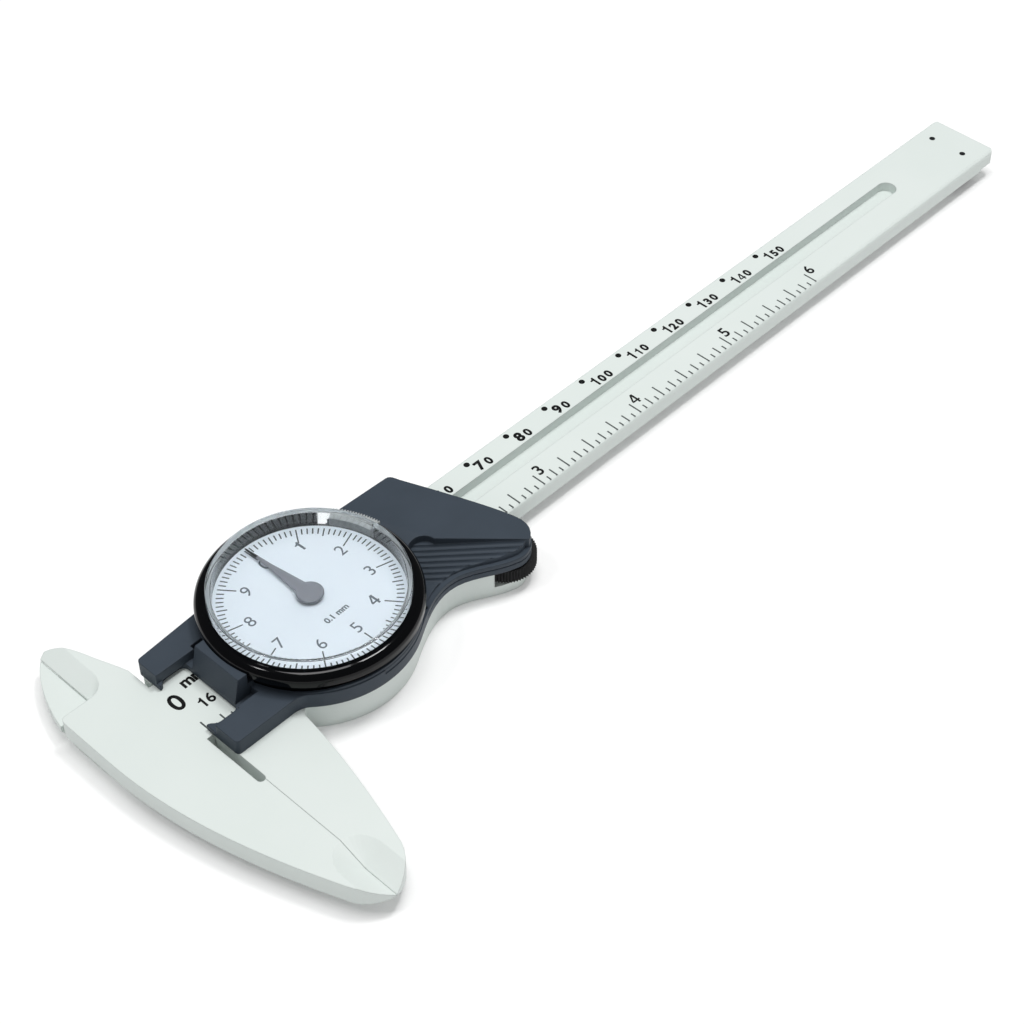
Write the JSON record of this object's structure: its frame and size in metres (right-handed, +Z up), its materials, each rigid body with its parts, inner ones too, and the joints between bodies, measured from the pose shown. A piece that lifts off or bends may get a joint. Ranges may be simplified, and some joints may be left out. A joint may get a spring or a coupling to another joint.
{
  "type": "dial caliper",
  "caption": "Plastic dial caliper with long outside jaws, short inside jaws, a depth rod, a round dial on the slider and a thumb wheel.",
  "frame": {"origin": "on the resting plane of the slider's back, under the closed jaws' contact plane and the beam's centre line", "axes": "+X along the beam from the contact plane to the tail, +Y towards the short inside jaws, +Z up through the dial"},
  "size_m": [0.2259, 0.0751, 0.0153],
  "materials": {
    "white_plastic": "satin",
    "slate_plastic": "satin",
    "black_plastic": "gloss",
    "wheel_black": "satin",
    "dial_white": "matt",
    "clear_plastic": "clear",
    "pointer_grey": "satin",
    "steel": "brushed",
    "dark_steel": "blackened",
    "brass": "plain",
    "rubber": "matt"
  },
  "bodies": {
    "beam": {"beam_with_fixed_jaws": "white_plastic", "rack_strip": "steel", "end_stop_plate": "dark_steel", "stop_pins": "dark_steel"},
    "slider": {"moving_jaw_body": "white_plastic", "front_cover": "slate_plastic", "bezel_ring": "black_plastic", "cover_screws": "dark_steel", "gib_strip": "brass", "depth_rod": "steel", "depth_rod_pin": "dark_steel", "thumb_wheel_axle": "steel", "movement_bridge": "brass", "bridge_screws": "steel", "friction_ring": "rubber"},
    "dial": {"dial_face": "dial_white", "crystal": "clear_plastic"},
    "pointer_and_arbor": {"centre_arbor": "brass", "pointer": "pointer_grey"},
    "rack_pinion_arbor": {"rack_pinion": "brass"},
    "idler": {"idler_wheel": "brass"},
    "thumb_roller": {"thumb_wheel": "wheel_black"}
  },
  "joints": [
    {"name": "jaw_slide", "type": "slide", "parent": "beam", "child": "slider", "axis": [1, 0, 0], "range_m": [0, 0.15]},
    {"name": "dial_zero", "type": "hinge", "parent": "slider", "child": "dial", "pos_m": [0.02714, -0.00115, 0.0107], "axis": [0, 0, 1], "range_deg": [-1.8, 6.8]},
    {"name": "pointer_turn", "type": "hinge", "parent": "slider", "child": "pointer_and_arbor", "pos_m": [0.02714, -0.00115, 0.0075], "axis": [0, 0, 1], "continuous": true},
    {"name": "pinion_turn", "type": "hinge", "parent": "slider", "child": "rack_pinion_arbor", "pos_m": [0.03505, 0.00005, 0.0075], "axis": [0, 0, 1], "continuous": true},
    {"name": "idler_turn", "type": "hinge", "parent": "slider", "child": "idler", "pos_m": [0.03109, -0.00055, 0.0075], "axis": [0, 0, 1], "continuous": true},
    {"name": "thumb_roll", "type": "hinge", "parent": "slider", "child": "thumb_roller", "pos_m": [0.0608, -0.01285, 0.0043], "axis": [0, 0, 1], "continuous": true}
  ],
  "couplings": [
    {"joint": "pinion_turn", "follows": "jaw_slide", "rad_per_m": -628.32},
    {"joint": "idler_turn", "follows": "jaw_slide", "rad_per_m": 1047.2},
    {"joint": "pointer_turn", "follows": "jaw_slide", "rad_per_m": -628.32},
    {"joint": "thumb_roll", "follows": "jaw_slide", "rad_per_m": 188.68}
  ]
}
